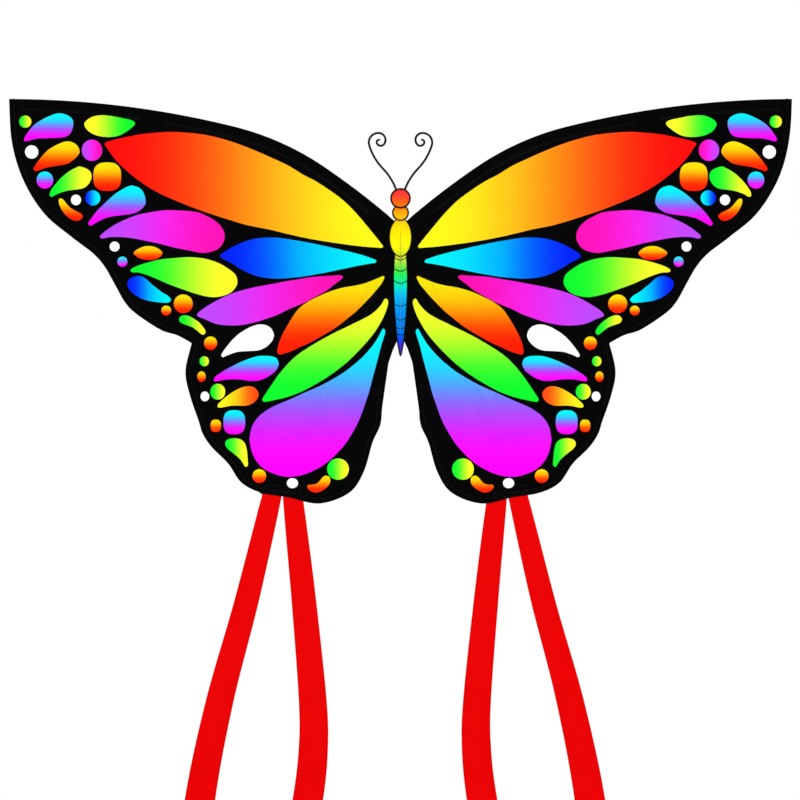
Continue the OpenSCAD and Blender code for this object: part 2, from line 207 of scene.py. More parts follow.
# a piece with no body here is left unattached
def makePiece(name, verts, faces, body, finish, colours=None):
    mesh = bpy.data.meshes.new(name)
    mesh.from_pydata([tuple(v) for v in np.asarray(verts, float) * mm], [],
                     [tuple(int(i) for i in f) for f in faces])
    if colours is not None:
        layer = mesh.color_attributes.new("print", "FLOAT_COLOR", "CORNER")
        flat = np.concatenate([linear(np.asarray(colours, float).reshape(-1, 3)),
                               np.ones((len(mesh.loops), 1))], axis=1)
        layer.data.foreach_set("color", flat.astype(np.float32).ravel())
    mesh.validate()
    mesh.polygons.foreach_set("use_smooth", [True] * len(mesh.polygons))
    mesh.materials.append(finish)
    piece = bpy.data.objects.new(name, mesh)
    bpy.context.scene.collection.objects.link(piece)
    if body:
        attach(piece, body)
    return piece


def plainMesh(piece):
    # swaps a curve or a piece with modifiers for the mesh that it makes
    made = bpy.data.meshes.new_from_object(piece.evaluated_get(bpy.context.evaluated_depsgraph_get()))
    name = piece.name
    bpy.data.objects.remove(piece)
    made.name = name
    result = bpy.data.objects.new(name, made)
    bpy.context.scene.collection.objects.link(result)
    return result


def thicken(piece, thickness):
    shell = piece.modifiers.new("thickness", "SOLIDIFY")
    shell.thickness = thickness * mm
    shell.offset = 0


def gridFaces(rows, columns, closed=False):
    across = columns if closed else columns - 1
    return [(i * columns + j, (i + 1) * columns + j, (i + 1) * columns + (j + 1) % columns,
             i * columns + (j + 1) % columns) for i in range(rows - 1) for j in range(across)]


def linear(rgb):
    c = np.asarray(rgb, float) / 255
    return np.where(c <= 0.04045, c / 12.92, ((np.maximum(c, 0) + 0.055) / 1.055) ** 2.4)


def shade(stops, t):
    places = [s[0] for s in stops]
    return np.stack([np.interp(t, places, [s[1][k] for s in stops]) for k in range(3)], axis=-1)


# material helpers

class Value:
    # one socket of a shader tree; arithmetic on it adds Math nodes

    def __init__(self, tree, socket):
        self.tree, self.socket = tree, socket

    def maths(self, operation, *terms):
        node = self.tree.nodes.new("ShaderNodeMath")
        node.operation = operation
        for place, term in zip(node.inputs, terms):
            join(self.tree, place, term)
        return Value(self.tree, node.outputs[0])

    def __add__(self, other):
        return self.maths("ADD", self, other)

    def __radd__(self, other):
        return self.maths("ADD", other, self)

    def __sub__(self, other):
        return self.maths("SUBTRACT", self, other)

    def __rsub__(self, other):
        return self.maths("SUBTRACT", other, self)

    def __mul__(self, other):
        return self.maths("MULTIPLY", self, other)

    def __rmul__(self, other):
        return self.maths("MULTIPLY", other, self)


def join(tree, socket, value):
    if isinstance(value, Value):
        tree.links.new(value.socket, socket)
    else:
        socket.default_value = value


class Finish:
    # a material with one Principled shader

    def __init__(self, name, **fixed):
        self.material = bpy.data.materials.new(name)
        self.material.use_nodes = True
        self.tree = self.material.node_tree
        self.shader = self.tree.nodes["Principled BSDF"]
        for socket, value in fixed.items():
            self.shader.inputs[socket.replace("_", " ")].default_value = value

    def node(self, kind, settings=None, inputs=None, out=0):
        made = self.tree.nodes.new("ShaderNode" + kind)
        for key, value in (settings or {}).items():
            setattr(made, key, value)
        for key, value in (inputs or {}).items():
            join(self.tree, made.inputs[key], value)
        return Value(self.tree, made.outputs[out])

    def place(self, scale=(1, 1, 1)):
        coordinates = self.node("TexCoord", out="Object")
        return self.node("Mapping", inputs={"Vector": coordinates, "Scale": scale})

    def cloud(self, vector, size, detail=3.0):
        # noise of about this size in millimetres
        return self.node("TexNoise", inputs={"Vector": vector, "Scale": 1000 / size, "Detail": detail,
                                             "Roughness": 0.55})

    def wave(self, vector, pitch, axis, bend=0.0):
        # threads or lines this many millimetres apart
        return self.node("TexWave", {"bands_direction": axis},
                         {"Vector": vector, "Scale": 1000 * math.pi / 10 / pitch, "Distortion": bend})

    def span(self, value, low, high, newLow, newHigh):
        return self.node("MapRange", {"clamp": True}, {"Value": value, "From Min": low, "From Max": high,
                                                       "To Min": newLow, "To Max": newHigh})

    def tint(self, colour, amount):
        # colour made lighter or darker by a value around 1
        grey = self.node("CombineXYZ", inputs={"X": amount, "Y": amount, "Z": amount})
        plain = colour[:3] if isinstance(colour, tuple) else colour
        return self.node("VectorMath", {"operation": "MULTIPLY"}, {0: plain, 1: grey})

    def mix(self, factor, a, b):
        return self.node("Mix", {"data_type": "RGBA"}, {0: factor, 6: a, 7: b}, out=2)

    def bump(self, height, distance, strength):
        # distance is the height of the relief in millimetres
        return self.node("Bump", inputs={"Height": height, "Distance": distance * mm, "Strength": strength})

    def put(self, name, value):
        join(self.tree, self.shader.inputs[name], value)


def rgb(r, g, b):
    return tuple(float(c) for c in linear((r, g, b))) + (1.0,)


def clothFinish(name, colour=None, weave=0.42, ripstop=0.0, rough=0.55, gloss=0.3, fade=0.03):
    # woven synthetic cloth; with no colour it shows the piece's own print
    f = Finish(name, Specular_IOR_Level=gloss)
    where = f.place()
    soft = f.cloud(where, 60)
    fine = f.cloud(where, 1.3, detail=2.0)
    base = f.node("Attribute", {"attribute_name": "print"}, out="Color") if colour is None else colour
    warp = f.wave(where, weave, "X", 0.4)
    weft = f.wave(where, weave * 1.1, "Z", 0.4)
    threads = warp * weft
    height = threads * 0.35 + fine * 0.3
    tone = f.span(soft, 0.3, 0.7, 1 - fade, 1 + fade) + (threads - 0.3) * fade
    if ripstop:
        # heavier threads every few millimetres, both ways
        up = f.span(f.wave(where, ripstop, "X", 0.05), 0.93, 1.0, 0, 1)
        over = f.span(f.wave(where, ripstop, "Z", 0.05), 0.93, 1.0, 0, 1)
        grid = up.maths("MAXIMUM", up, over)
        height = height + grid * 0.8
        tone = tone + grid * fade
    f.put("Base Color", f.tint(base, tone))
    f.put("Roughness", f.span(fine, 0.3, 0.7, rough - 0.07, rough + 0.08))
    f.put("Normal", f.bump(height, 0.05, 0.5))
    return f.material


def plasticFinish(name, colour, rough=0.45, grain=0.5, scuff=0.15, gloss=0.45):
    # moulded vinyl or nylon: fine pebble grain, and paler scuffs and dust scattered at random
    f = Finish(name, Specular_IOR_Level=gloss)
    where = f.place()
    pebble = f.cloud(where, grain, detail=2.0)
    broad = f.cloud(where, 9, detail=4.0)
    scratch = f.cloud(f.place(scale=(0.25, 1, 3)), 1.1, detail=5.0)
    worn = f.span(scratch, 0.6, 0.72, 0, 1) * f.span(broad, 0.45, 0.7, 0, 1)
    f.put("Base Color", f.mix(worn * scuff, f.tint(colour, f.span(broad, 0.3, 0.7, 0.85, 1.15)),
                              rgb(120, 120, 124)))
    f.put("Roughness", f.span(pebble, 0.3, 0.7, rough - 0.08, rough + 0.1) + worn * 0.12)
    f.put("Normal", f.bump(pebble, 0.08, 0.35))
    return f.material


def fibreglassFinish(name):
    # pultruded rod: lengthwise glass strands under a thin dark resin, with faint wrap marks
    f = Finish(name, Specular_IOR_Level=0.5, Coat_Weight=0.25, Coat_Roughness=0.2)
    where = f.place()
    strands = f.cloud(f.place(scale=(0.12, 1.6, 0.12)), 0.5, detail=4.0)
    mottled = f.cloud(where, 14, detail=3.0)
    wrap = f.span(f.cloud(where, 2.2, detail=2.0), 0.35, 0.65, 0, 1)
    dark = f.mix(f.span(strands, 0.35, 0.7, 0, 1), rgb(26, 26, 28), rgb(62, 61, 60))
    f.put("Base Color", f.tint(dark, f.span(mottled, 0.3, 0.7, 0.85, 1.15)))
    f.put("Roughness", f.span(wrap, 0, 1, 0.28, 0.42))
    f.put("Normal", f.bump(strands + wrap * 0.3, 0.04, 0.4))
    return f.material


def metalFinish(name, colour, dull, rough):
    f = Finish(name, Specular_IOR_Level=0.5)
    where = f.place()
    brushed = f.cloud(f.place(scale=(6, 1, 1)), 0.8, detail=4.0)
    stain = f.span(f.cloud(where, 2.4, detail=4.0), 0.45, 0.7, 0, 1)
    f.put("Base Color", f.mix(stain * 0.55, colour, dull))
    f.put("Metallic", f.span(stain, 0, 1, 1.0, 0.85))
    f.put("Roughness", f.span(brushed, 0.3, 0.7, rough - 0.06, rough + 0.1) + stain * 0.15)
    f.put("Normal", f.bump(brushed, 0.03, 0.3))
    return f.material


def satinFinish(name, colour):
    # ribbon satin: threads run along the ribbon, read from its own map
    f = Finish(name, Specular_IOR_Level=0.015)
    along = f.node("UVMap", {"uv_map": "cloth"})
    threads = f.wave(along, 0.5, "X", 0.6)
    picks = f.wave(along, 0.8, "Y", 0.3)
    streaks = f.cloud(f.node("Mapping", inputs={"Vector": along, "Scale": (1, 0.03, 1)}), 1.6)
    soft = f.cloud(along, 45)
    tone = f.span(soft, 0.3, 0.7, 0.96, 1.03) * f.span(streaks, 0.3, 0.7, 0.97, 1.02)
    f.put("Base Color", f.tint(colour, tone))
    f.put("Roughness", f.span(streaks, 0.3, 0.7, 0.4, 0.52))
    f.put("Normal", f.bump(threads * 0.5 + picks * 0.2, 0.04, 0.45))
    return f.material


finishes = {
    "sail": clothFinish("sailCloth", ripstop=5.0, rough=0.56, gloss=0.015),
    "body": clothFinish("bodyCloth", weave=0.5, rough=0.5, gloss=0.03, fade=0.02),
    "keel": clothFinish("keelCloth", ripstop=5.0, rough=0.55, gloss=0.04),
    "blackCloth": clothFinish("blackCloth", rgb(9, 9, 10), weave=0.6, rough=0.6, gloss=0.08, fade=0.15),
    "tape": clothFinish("edgeTape", rgb(12, 12, 13), weave=0.9, rough=0.62, gloss=0.2, fade=0.2),
    "thread": clothFinish("sewingThread", rgb(34, 34, 37), weave=0.3, rough=0.5, gloss=0.35, fade=0.1),
    "paleThread": clothFinish("paleThread", rgb(226, 224, 214), weave=0.3, rough=0.5, gloss=0.2, fade=0.06),
    "piping": clothFinish("pipingCord", rgb(8, 7, 8), weave=0.7, rough=0.55, gloss=0.06, fade=0.2),
    "ribbon": satinFinish("ribbonSatin", rgb(231, 1, 2)),
    "vinyl": plasticFinish("blackVinyl", rgb(17, 17, 18)),
    "antenna": plasticFinish("antennaPlastic", rgb(5, 5, 6), rough=0.5, grain=0.8, scuff=0.03, gloss=0.1),
    "rod": fibreglassFinish("fibreglassRod"),
    "steel": metalFinish("pinSteel", rgb(196, 198, 200), rgb(120, 116, 110), 0.28),
    "brass": metalFinish("eyeletBrass", rgb(222, 184, 100), rgb(150, 112, 58), 0.3),
}

bothSides = {
    "rod": ["edge_rod", "strut_rod", "spreader_rod"],
    "vinyl": ["edge_root_cap", "edge_tip_cap", "spreader_clip", "strut_caps", "spreader_socket",
              "spreader_cap"],
}
cadFinishes = {
    "rod": ["spine_rod"],
    "steel": ["hub_pins"],
    "vinyl": ["antenna_holder", "centre_hub", "spine_tail_cap"],
}
for finish, nodes in bothSides.items():
    cadFinishes[finish] += [f"{word}_{node}" for word in sides for node in nodes]
for finish, nodes in cadFinishes.items():
    for node in nodes:
        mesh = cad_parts[node].data
        mesh.materials.clear()
        mesh.materials.append(finishes[finish])
print("finishes made")


# how the sail sits

leadRod = leadLine(0, kite["noseAngle"] - 0.2, kite["rodInset"], 60)
strutRod = np.array([kite["strutTop"], kite["strutFoot"]], float)
tailSeam = [(150, -403), (256, -403)]
trailing = np.vstack([smooth([tuple(leadAt(kite["noseAngle"], 0))] + kite["outer"], 8)[:-1],
                      smooth(kite["hind"], 8)])
sailLook = {
    "belly": 6.0, "bellyReach": 95,  # how far the middle of a panel sits back, and how soon it gets there
    "crease": 0.8, "creaseStart": 24, "flutter": 3.2, "flutterReach": 34,
    "calm": 24,  # no creases this near the ribbons' seam
}


def sailDepth(x, z, side):
    # how far the cloth sits behind the flat, in millimetres, at points of the wing on that side
    points = np.stack([x, z], axis=1)
    held = np.minimum(distance(points, leadRod), distance(points, strutRod))
    held = np.minimum(held, np.abs(x))
    held = np.minimum(held, np.maximum(distance(points, tailSeam) - sailLook["calm"], 0))
    free = 1 - np.exp(-(held / sailLook["bellyReach"]) ** 2)
    near = 1 - np.exp(-(held / sailLook["creaseStart"]) ** 2)
    edge = np.exp(-distance(points, trailing) / sailLook["flutterReach"])
    pull = ripple(x + 0.6 * z, z - 0.4 * x, 38, 3.1 * side) * 0.6 + ripple(x, z, 17, 7.7 * side) * 0.25
    wave = ripple(x, z, 75, 11.3 * side)
    return (sailLook["belly"] * free + sailLook["crease"] * near * pull
            + sailLook["flutter"] * near * edge * wave)


def onSail(points, side, lift=0.0):
    # 3-D points on the sail's back (lift > 0) or front (lift < 0)
    p = np.asarray(points, float)
    y = kite["sailY"] + sailDepth(p[:, 0], p[:, 1], side) + lift
    return np.stack([side * p[:, 0], y, p[:, 1]], axis=1)


# the print

# each dye fades through three colours, either down the patch, out (from the wing's tip inwards)
# or across (the same way on both wings, as the viewer reads it); slow fades stay longer near the ends
dyes = {
    "lime": {"way": "across", "slow": True, "colours": [(15, 243, 46), (143, 251, 42), (253, 254, 42)]},
    "limeBack": {"way": "back", "slow": True, "colours": [(15, 243, 46), (143, 251, 42), (253, 254, 42)]},
    "leaf": {"way": "down", "slow": True, "colours": [(253, 254, 42), (144, 253, 40), (14, 245, 46)]},
    "lagoon": {"way": "down", "slow": True, "colours": [(6, 239, 249), (138, 101, 255), (254, 3, 255)]},
    "ember": {"way": "down", "slow": True, "colours": [(252, 226, 12), (254, 131, 3), (252, 28, 3)]},
    "flame": {"way": "out", "slow": False, "colours": [(253, 13, 10), (255, 137, 20), (253, 247, 27)]},
    "honey": {"way": "out", "slow": False, "colours": [(252, 244, 28), (254, 193, 22), (252, 74, 16)]},
    "orchid": {"way": "out", "slow": False, "colours": [(186, 73, 253), (238, 37, 233), (253, 17, 178)]},
    "sky": {"way": "out", "slow": False, "colours": [(3, 32, 248), (1, 174, 254), (4, 244, 253)]},
    "white": {"way": "down", "slow": False, "colours": [(253, 253, 253)] * 3},
}
black = (3, 3, 4)

# dots as (dye, x, z, half width, half height)
dots = [
    ("lime", 671, 252, 11, 11), ("white", 660, 198, 12, 12), ("orchid", 552, 201, 18.3, 19),
    ("lagoon", 636.5, 148, 15, 15.3), ("white", 581, 112.5, 9.2, 9.6), ("sky", 551, 116, 13.6, 13.6),
    ("white", 512, 29, 9, 9), ("lagoon", 498, 2, 9.2, 9.2), ("ember", 389, -73.6, 17.1, 16.8),
    ("ember", 419.5, -85.6, 9, 8.9), ("ember", 340, -144, 11.8, 12.1), ("lime", 351.4, -176.4, 8.5, 9.1),
    ("ember", 356.3, -203.9, 7.6, 9.4), ("lime", 327.2, -231, 13.5, 14.3), ("white", 350.2, -239.4, 8, 8.9),
    ("ember", 252.4, -381.8, 12.4, 12.4), ("white", 193.2, -394.5, 10.2, 9.1),
    ("lime", 111.7, -369.4, 19.5, 19.1),
]
# rounded squares as (dye, x, z, half width, half height)
pads = [("ember", 525, 154, 25, 25.5), ("lagoon", 297.5, -285.5, 19.6, 21.5),
        ("ember", 330.5, -292, 9.4, 11.2)]
# every other patch as (dye, points round its edge)
shapes = [
    ("lagoon", [(585, 248), (590, 260), (609, 267), (630, 261), (650, 250), (661, 240), (668, 230),
                (673, 222), (670, 217), (650, 222), (620, 223), (600, 225), (590, 232)]),
    ("limeBack", [(475, 247), (480, 254), (497, 258), (520, 262.5), (540, 263), (556, 258), (565.5, 248),
                  (559, 236), (545, 228), (525, 224.5), (505, 226.5), (489, 235)]),
    ("ember", [(574, 199), (580, 211), (594, 217), (610, 213), (630, 202), (645, 186), (653, 175),
               (657, 168), (653, 164), (645, 166.5), (630, 171), (612, 174), (597, 177), (588, 182),
               (579, 190)]),
    ("flame", [(31.6, 29.4), (34.5, 34), (49, 52), (63, 69), (80, 89), (100, 109), (122, 126), (150, 144.5),
               (174, 157), (200, 173), (230, 187), (257, 199), (300, 215.5), (350, 228.5), (405, 233.5),
               (437, 232), (467, 229), (497, 223), (518, 218), (529, 213), (524, 204), (513, 188),
               (501, 174.5), (487, 162), (471, 149), (449, 134), (425, 121), (397, 109), (367, 97),
               (338, 87), (310, 78), (273, 67), (237, 60), (200, 51), (158, 42), (108, 34), (69, 29),
               (44, 26.8), (35, 26.2), (32.2, 27)]),
    ("lime", [(553, 154), (557, 165), (573, 172), (581, 170), (594, 163), (607, 152.5), (619, 139),
              (626, 129), (628, 121), (624, 118), (617, 122), (607, 126), (594, 129.5), (574, 132),
              (565, 135), (557, 143)]),
    ("ember", [(610, 115), (612, 110), (609, 99.5), (601, 87), (590, 78), (579, 75), (571, 79), (569, 84),
               (574, 89), (584, 94), (594, 101), (604, 113)]),
    ("lagoon", [(456, 109), (460, 125), (468, 134), (482, 138), (493, 134), (511, 123), (530, 106),
                (544, 92), (555, 77), (559, 70), (555, 66.5), (548, 70), (531, 79), (516, 83), (500, 85),
                (480, 88), (468, 93), (460, 100)]),
    ("orchid", [(315, 50), (320, 63), (332, 75), (348, 84), (367, 91), (409, 94), (429, 93), (455, 89),
                (473, 85), (491, 78), (506, 71), (521, 62), (535, 51), (538, 46), (533, 43.5), (519, 46),
                (500, 46), (480, 44), (450, 38), (429, 33.5), (404, 27), (378, 22), (352, 17.5), (328, 24),
                (317, 37)]),
    ("ember", [(426, 17), (436, 26.5), (451, 30), (466, 26.5), (478, 17.5), (468, 8.5), (452, 5),
               (436, 7)]),
    ("lime", [(292.5, -31), (293, -39.5), (300, -50), (308, -55.5), (319, -59.5), (334, -61.7),
              (350, -59.8), (371, -54), (397, -45), (417, -37.5), (436, -29), (455, -21.5), (469, -17.5),
              (480, -17), (483.5, -14), (480, -10), (468, -4.5), (450, 1), (429, 6), (404, 8.5), (378, 10),
              (352, 7.5), (327, 0), (308, -11), (296, -21)]),
    ("sky", [(43.2, 2.3), (44.8, 4.9), (48, 6.2), (69, 13.5), (100, 21.5), (130, 28.5), (158, 34.5),
             (188, 40), (218, 44.5), (237, 45), (261, 43), (281, 37), (300, 28.5), (318, 17.5), (323, 11.5),
             (316, 6), (304, 0), (293, -7), (281, -14), (266, -21), (252, -25.3), (235, -27.8),
             (217, -28.5), (199, -27.3), (179, -25.3), (160, -22.3), (140, -18.8), (119, -14.7),
             (100, -10.7), (79, -6.3), (61, -2.9), (50, -1.2), (45, -0.4)]),
    ("sky", [(411.3, -67), (412.7, -63.2), (417, -59), (422.3, -55.9), (430, -50.8), (437.4, -45),
             (444.3, -39.5), (450, -34.3), (455.3, -29.5), (461, -25.8), (467.7, -24), (474.6, -24.3),
             (482, -27.2), (487, -31.3), (489, -36.4), (488.3, -42.6), (485, -48.7), (478.7, -55),
             (469.7, -61.1), (460.8, -65.3), (450, -68.3), (437.4, -70.3), (425, -71.4), (415.4, -71.2)]),
    ("orchid", [(103.2, -26), (108, -22.5), (119, -23.2), (144, -24.5), (160, -25.9), (181, -29.5),
                (203, -33), (222, -36.6), (249, -41.6), (260, -43.7), (280, -48.5), (300, -54.4),
                (320, -63), (340, -74), (352, -81.5), (359.3, -87), (363.4, -91), (364.2, -94.3),
                (361, -97), (350, -101), (340, -105.8), (330, -109.4), (320, -111.3), (307, -112.2),
                (294, -112.2), (280, -110.8), (266.4, -108), (252.7, -104.5), (237.6, -99.4), (217.6, -92),
                (201, -83.6), (186.6, -77.7), (169, -70.2), (147.3, -58.4), (131.3, -49.5), (118.8, -39.3),
                (108, -31.3)]),
    ("lime", [(353, -129), (349.7, -126), (349.6, -122), (353.1, -115.9), (360, -107.6), (368.2, -101.4),
              (376.5, -96.6), (384.7, -94.1), (391.6, -95), (395.7, -98.7), (396.2, -102.8), (393, -107.6),
              (386, -110.4), (376.5, -113.8), (369.6, -117.3), (362.7, -122.7), (357.2, -127.3)]),
    ("white", [(226.5, -130.3), (228.2, -123.4), (232.7, -116.6), (240.3, -112.2), (250, -110.4),
               (260.2, -112), (270.6, -116), (280.2, -121.4), (291.2, -129), (300, -137.2), (307.7, -146),
               (314.6, -155), (319.4, -162), (320.9, -166.5), (317.5, -169), (310.5, -166), (300, -162),
               (291, -159.5), (280, -158.5), (266.4, -157.8), (255.4, -157), (247.2, -154.4), (239, -149.6),
               (231.4, -142), (228, -136)]),
    ("lagoon", [(218, -182.6), (219, -176.4), (222.4, -171), (229.3, -168), (239, -166.8), (250, -166.8),
                (260.2, -168.6), (272, -172.3), (285.7, -177.8), (300, -184.7), (311.8, -190.8),
                (321.5, -197), (329.7, -202.5), (334, -208), (332.5, -212.3), (325.6, -211.5),
                (314.6, -209.4), (300, -208.4), (287, -209), (274.7, -210.8), (263.7, -211.5),
                (252.7, -210.4), (240.3, -205.7), (230, -199), (222.4, -192.2)]),
    ("honey", [(253.8, -235), (256, -229.4), (261, -224), (267.8, -221.4), (276, -221.4), (285.7, -224),
               (296.7, -229.4), (306.3, -235.5), (316, -243), (322.8, -249.3), (327, -254.4),
               (326.5, -258.8), (320, -259.3), (311.8, -257.6), (300, -255.8), (287, -256), (277.4, -256),
               (270.6, -254.4), (262.3, -250), (256.1, -243)]),
    ("lime", [(276.9, -327), (279.7, -321.6), (285.2, -316.8), (292, -314.7), (300.3, -314.4),
              (307.2, -315.7), (312, -319), (313.6, -323.6), (312, -329), (307.2, -334.6), (300.3, -340),
              (293.4, -345.6), (286.5, -351.8), (281.7, -358.7), (279, -363.5), (276, -365.2),
              (273.3, -363), (272.8, -358), (273.5, -350.5), (274.6, -338)]),
    ("ember", [(125.6, -389.4), (127, -383.6), (133, -381), (139, -383.8), (145, -391.3), (151, -395.7),
               (159, -397.3), (164.8, -397.6), (166.8, -401), (163.8, -406.2), (157, -410.2), (149, -411.2),
               (139, -407.2), (131, -401.2), (126.5, -395)]),
    ("ember", [(28.8, -26.5), (31.5, -24.2), (37.5, -26.8), (50, -32), (63.4, -37), (79.5, -41),
               (100, -44.3), (115.2, -48.2), (131.3, -53.6), (147.3, -60.7), (163.4, -68.8), (176.8, -77.7),
               (186.6, -87.5), (195.5, -101), (204.5, -116), (212.5, -131.3), (217.8, -145.5),
               (220.3, -157), (219, -163), (215, -164.3), (209.8, -163), (197.3, -159), (179.5, -151),
               (159.8, -142), (142, -132), (122.3, -120.5), (108, -110.7), (93.8, -99), (79.5, -87.5),
               (63.4, -71.4), (50, -57), (40.2, -45.5), (33, -35.7)]),
    ("leaf", [(25.3, -64.6), (22.3, -68.5), (22.3, -74), (25.9, -86.6), (31.3, -99), (40.2, -115.2),
              (50, -129.5), (63.4, -145.5), (79.5, -162.5), (97.3, -179.5), (115.2, -193.8), (133, -206.3),
              (151, -217), (168.8, -226.8), (186.6, -234.8), (204.5, -241), (222.3, -245.2),
              (236.6, -248.2), (244, -249), (247.2, -246), (246.2, -242), (240.2, -233), (229.5, -217),
              (218.8, -201.8), (208, -188.4), (195.5, -175), (179.5, -161.6), (159.8, -149),
              (140.2, -137.5), (118.8, -126), (100, -117), (79.5, -107), (63.4, -99), (50, -91),
              (40.2, -82), (33, -73.2), (28.8, -66)]),
    ("lagoon", [(30.5, -118.4), (27.4, -122), (28.6, -129.5), (34.8, -149), (41, -174), (50, -207),
                (56.3, -231.3), (63.4, -252.7), (69.6, -270), (75.6, -285), (83.5, -300), (91.4, -313),
                (99.8, -325.7), (111.3, -338.6), (123.2, -350.5), (137, -361.5), (150, -369), (163, -375.4),
                (176.8, -380), (188.7, -382.3), (200, -383), (212.5, -381.8), (226.3, -377.4),
                (238.3, -372.4), (249.6, -364), (259, -352.5), (266, -337.6), (269.6, -320), (269.6, -314),
                (267.6, -300), (262, -286), (254, -276), (246.2, -269), (232.3, -260), (219.8, -254),
                (200, -245.8), (176.8, -235.2), (159, -227.3), (139, -218.3), (119.2, -207.4),
                (99.8, -195.5), (85.5, -184.5), (71.6, -172.6), (60, -160.7), (50, -148.7), (43.8, -139.8),
                (37.8, -130), (33.9, -121.8)]),
]


def ovalPoints(x, z, w, h, power=2.0):
    turn = np.linspace(0, 2 * np.pi, max(14, round((w + h) / 1.5)), endpoint=False)
    c, s = np.cos(turn), np.sin(turn)
    return np.stack([x + w * np.sign(c) * np.abs(c) ** (2 / power),
                     z + h * np.sign(s) * np.abs(s) ** (2 / power)], axis=1)


def printPatches():
    made = [(dye, ovalPoints(x, z, w, h)) for dye, x, z, w, h in dots]
    made += [(dye, ovalPoints(x, z, w, h, 2.7)) for dye, x, z, w, h in pads]
    made += [(dye, smooth(points, 3, closed=True)) for dye, points in shapes]
    return made


def patchColour(dye, outline, points, side):
    dye = dyes[dye]
    lo, hi = outline.min(0), outline.max(0)
    down, out = (hi - points)[..., 1] / (hi - lo)[1], (hi - points)[..., 0] / (hi - lo)[0]
    ways = {"down": down, "out": out, "across": out if side < 0 else 1 - out,
            "back": out if side > 0 else 1 - out}
    t = np.clip(ways[dye["way"]], 0, 1)
    t = t ** 3 * (6 * t * t - 15 * t + 10) if dye["slow"] else t * t * (3 - 2 * t)
    return shade(list(zip((0, 0.5, 1), dye["colours"])), t)


# sail

def sailOutline():
    lead = leadLine(0, kite["noseAngle"], 0, 90)
    return np.vstack([lead, trailing[1:], kite["notch"]])


patches = printPatches()
sailEdge = sailOutline()
# more points along the edge of the centre strip
foldColumns = [(x, z) for x in (15, 17, 19, 21, 23, 25, 27) for z in np.arange(-170, 84, 6.0)]
sailVerts, sailFaces = cutCloth(sailEdge, [p[1] for p in patches], 7.0, foldColumns)
sailMiddle = sailVerts[sailFaces].mean(axis=1)

for word, side in sides.items():
    colours = np.tile(np.array(black, float), (len(sailFaces), 3, 1))
    for dye, outline in patches:
        hit = inside(sailMiddle, outline)
        colours[hit] = patchColour(dye, outline, sailVerts[sailFaces[hit]], side)
    faces = sailFaces if side > 0 else sailFaces[:, ::-1]
    shown = colours if side > 0 else colours[:, ::-1]
    sail = makePiece(word + "Sail", onSail(sailVerts, side), faces, None,
                     finishes["sail"], shown)
    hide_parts(word + "_sail", *(["centre_panel"] if side < 0 else []))
    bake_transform(sail)
    thicken(sail, kite["clothThick"])
print("sails:", len(sailFaces), "triangles a side")


# strips sewn on the sail

def strip(name, line, profile, side, body, finish, crumple=0.0, thickness=0.2):
    # cloth swept along a line; profile is (distance into the cloth, lift off the sail) across it
    line = np.asarray(line, float)
    across = inwards(line)
    rows, columns = len(line), len(profile)
    verts = []
    run = runAlong(line)
    flat = np.concatenate([line + p[0] * across for p in profile])
    base = onSail(flat, side).reshape(columns, rows, 3)
    for i in range(rows):
        for j, (inset, lift) in enumerate(profile):
            point = base[j, i].copy()
            loose = crumple * min(1, max(0, lift) / 3)
            point[1] += lift + loose * noise.noise(Vector((run[i] / 9, j * 0.35, side * 2.3 + inset)))
            verts.append(point)
    faces = gridFaces(rows, columns)
    if side < 0:
        faces = [f[::-1] for f in faces]
    piece = makePiece(name, verts, faces, body, finish)
    thicken(piece, thickness)
    return piece, run[-1]


# folds round the rod: from the sail's edge over the back of the rod and down to the seam
leadProfile = [(0.35, 0.25), (1.4, 1.0), (2.6, 2.4), (3.7, 4.2), (4.9, 6.0), (6.4, 7.4), (8.0, 7.85),
               (9.6, 7.4), (11.1, 6.1), (12.5, 4.3), (13.9, 2.5), (15.4, 1.1), (17.0, 0.45), (19.0, 0.35),
               (21.0, 0.35)]
# lies over a rod that runs down the middle of the strip
strutProfile = [(-9.5, 0.35), (-6.5, 0.4), (-4.6, 0.9), (-3.4, 2.2), (-2.4, 4.0), (-1.3, 5.1), (0, 5.5),
                (1.3, 5.1), (2.4, 4.0), (3.4, 2.2), (4.6, 0.9), (6.5, 0.4), (9.5, 0.35)]
spineProfile = [(a * 1.15, 0.35 + (b - 0.35) * 1.28) for a, b in strutProfile]
hemProfile = [(0.3, 0.25), (1.4, 0.6), (4.0, 0.5), (7.0, 0.42), (10.5, 0.35)]

stitchLines = {}


def sew(body, points):
    stitchLines.setdefault(body, []).append(np.asarray(points, float))


def sewThrough(wing, row, side, lift):
    # one row of stitches behind and its other face in front of the sail
    sew(wing, onSail(row, side, lift))
    sew(wing, onSail(row, side, -0.2))


